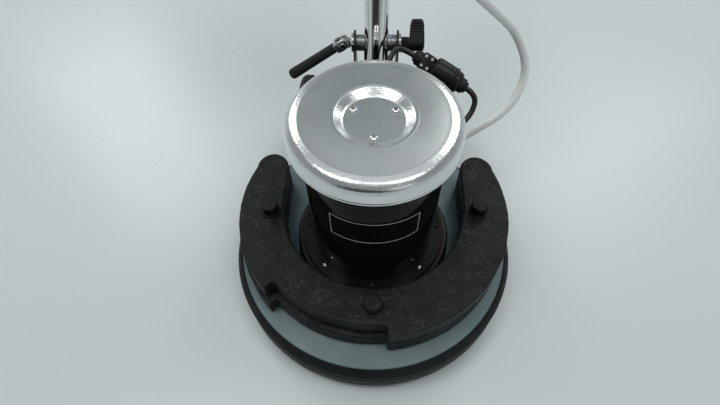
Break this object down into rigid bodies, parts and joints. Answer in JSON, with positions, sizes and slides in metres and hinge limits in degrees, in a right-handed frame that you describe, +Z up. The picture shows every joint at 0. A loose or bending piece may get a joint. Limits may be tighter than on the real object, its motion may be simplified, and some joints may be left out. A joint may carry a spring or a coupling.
{
  "type": "floor scrubber",
  "caption": "Single-disc floor scrubber: rubber-bumpered deck, upright motor with chrome cover, horseshoe counterweights, leaning chrome pole, feed hose and rear wheels.",
  "frame": {"origin": "on the floor, on the axis of the motor and brush", "axes": "+Z up along the motor's axis, +Y to the rear where the pole and wheels are, +X to the side of the feed hose and power coupler"},
  "size_m": [0.4881, 0.9245, 1.1668],
  "materials": {
    "deck_paint": "blue-grey hammer enamel",
    "black_rubber": "matt black moulded rubber",
    "gear_steel": "hobbed and hardened steel",
    "bearing_steel": "ground bearing steel",
    "black_casting": "black painted casting, machined rim",
    "zinc_screws": "bright zinc plate",
    "shell_black": "high gloss black enamel",
    "core_steel": "stacked silicon steel",
    "copper_windings": "varnished copper wire",
    "cast_aluminium": "as-cast, turned seats",
    "cover_chrome": "bright chrome, brushed on top",
    "weight_iron": "rough sand casting in satin black",
    "frame_black": "black powder coat",
    "black_plastic": "fine-textured moulding",
    "clear_hose": "milky flexible vinyl",
    "grey_plastic": "moulded wheel centre",
    "tyre_rubber": "solid grey-black rubber",
    "brush_board": "moulded brush board",
    "bristle_fibre": "nylon bristle tufts",
    "lever_chrome": "satin chrome",
    "pole_chrome": "polished chrome",
    "tank_plastic": "translucent rotational moulding",
    "cap_plastic": "ribbed cap",
    "red_plastic": "signal red moulding"
  },
  "bodies": {
    "chassis": {"deck_housing": "deck_paint", "bumper": "black_rubber", "ring_gear": "gear_steel", "ball_bearings": "bearing_steel", "motor_flange": "black_casting", "flange_screws": "zinc_screws", "motor_shell": "shell_black", "name_plate": "shell_black", "stator_core": "core_steel", "stator_windings": "copper_windings", "upper_end_shield": "cast_aluminium", "fan_cover": "cover_chrome", "cover_screws": "zinc_screws", "counterweight_lower": "weight_iron", "counterweight_upper": "weight_iron", "weight_bolts": "weight_iron", "rear_frame": "frame_black", "bracket_bolts": "zinc_screws", "wheel_axle": "zinc_screws", "axle_caps": "black_plastic", "draw_bolt": "zinc_screws", "clamp_washers": "zinc_screws", "release_box": "black_plastic", "coupler_socket": "black_plastic", "coupler_plug": "black_plastic", "cable_glands": "black_plastic", "lead_to_pole": "black_rubber", "lead_to_motor": "black_rubber", "hose": "clear_hose", "hose_inlet": "black_plastic"},
    "brush": {"planet_carrier": "gear_steel", "drive_clutch": "cast_aluminium", "brush_clutch": "brush_board", "brush_block": "brush_board", "bristles": "bristle_fibre"},
    "rotor": {"motor_rotor": "core_steel", "motor_shaft": "gear_steel"},
    "planet_1": {"planet_gear_1": "gear_steel"},
    "planet_2": {"planet_gear_2": "gear_steel"},
    "planet_3": {"planet_gear_3": "gear_steel"},
    "left_wheel": {"wheel_hub_left": "grey_plastic", "tyre_left": "tyre_rubber"},
    "right_wheel": {"wheel_hub_right": "grey_plastic", "tyre_right": "tyre_rubber"},
    "cam_lever": {"clamp_lever": "lever_chrome", "lever_grip": "black_rubber"},
    "thumb_lever": {"release_lever": "black_plastic"},
    "handle": {"pole": "pole_chrome", "pole_gland": "black_plastic", "water_tank": "tank_plastic", "valve_body": "cap_plastic", "control_base": "black_plastic", "control_lid": "black_plastic", "handlebar": "pole_chrome", "handle_grips": "black_rubber"},
    "cap": {"tank_cap": "cap_plastic"},
    "tap": {"valve_tap": "red_plastic"},
    "left_switch": {"switch_lever_left": "black_plastic"},
    "right_switch": {"switch_lever_right": "black_plastic"},
    "button": {"lock_button": "red_plastic"}
  },
  "joints": [
    {"name": "handle_tilt", "type": "hinge", "parent": "chassis", "child": "handle", "pos_m": [0, 0.218, 0.296], "axis": [-1, 0, 0], "range_deg": [-28, 32], "deforming": ["hose", "lead_to_pole"]},
    {"name": "cam_lever_swing", "type": "hinge", "parent": "chassis", "child": "cam_lever", "pos_m": [-0.052, 0.218, 0.296], "axis": [0, 1, 0], "range_deg": [-40, 36]},
    {"name": "thumb_lever_press", "type": "hinge", "parent": "chassis", "child": "thumb_lever", "pos_m": [0.0625, 0.218, 0.296], "axis": [1, 0, 0], "range_deg": [0, 25], "stiffness_Nm_per_rad": 0.5, "springref_deg": -5.73},
    {"name": "left_wheel_spin", "type": "hinge", "parent": "chassis", "child": "left_wheel", "pos_m": [-0.128, 0.268, 0.09], "axis": [1, 0, 0], "continuous": true},
    {"name": "right_wheel_spin", "type": "hinge", "parent": "chassis", "child": "right_wheel", "pos_m": [0.128, 0.268, 0.09], "axis": [1, 0, 0], "continuous": true},
    {"name": "brush_spin", "type": "hinge", "parent": "chassis", "child": "brush", "pos_m": [0, 0, 0.059], "axis": [0, 0, 1], "continuous": true},
    {"name": "rotor_spin", "type": "hinge", "parent": "chassis", "child": "rotor", "pos_m": [0, 0, 0.2], "axis": [0, 0, 1], "continuous": true},
    {"name": "planet_1_spin", "type": "hinge", "parent": "brush", "child": "planet_1", "pos_m": [0.04988, 0, 0.088], "axis": [0, 0, 1], "continuous": true},
    {"name": "planet_2_spin", "type": "hinge", "parent": "brush", "child": "planet_2", "pos_m": [-0.02494, 0.04319, 0.088], "axis": [0, 0, 1], "continuous": true},
    {"name": "planet_3_spin", "type": "hinge", "parent": "brush", "child": "planet_3", "pos_m": [-0.02494, -0.04319, 0.088], "axis": [0, 0, 1], "continuous": true},
    {"name": "tank_cap_lift", "type": "slide", "parent": "handle", "child": "cap", "axis": [0, 0.4695, 0.8829], "range_m": [0, 0.06]},
    {"name": "valve_tap_turn", "type": "hinge", "parent": "handle", "child": "tap", "pos_m": [0.06, 0.24078, 0.58379], "axis": [0, -0.8829, 0.4695], "range_deg": [-90, 0]},
    {"name": "left_switch_squeeze", "type": "hinge", "parent": "handle", "child": "left_switch", "pos_m": [-0.078, 0.61618, 1.08321], "axis": [-1, 0, 0], "range_deg": [0, 10], "stiffness_Nm_per_rad": 1.5, "springref_deg": -8.59},
    {"name": "right_switch_squeeze", "type": "hinge", "parent": "handle", "child": "right_switch", "pos_m": [0.078, 0.61618, 1.08321], "axis": [-1, 0, 0], "range_deg": [0, 10], "stiffness_Nm_per_rad": 1.5, "springref_deg": -8.59},
    {"name": "lock_button_press", "type": "slide", "parent": "handle", "child": "button", "axis": [0, -0.4695, -0.8829], "range_m": [0, 0.003], "stiffness_N_per_m": 400, "springref_m": -0.002}
  ],
  "couplings": [
    {"joint": "rotor_spin", "follows": "brush_spin", "ratio": 9.5},
    {"joint": "planet_1_spin", "follows": "brush_spin", "ratio": -2.2667},
    {"joint": "planet_2_spin", "follows": "brush_spin", "ratio": -2.2667},
    {"joint": "planet_3_spin", "follows": "brush_spin", "ratio": -2.2667}
  ]
}
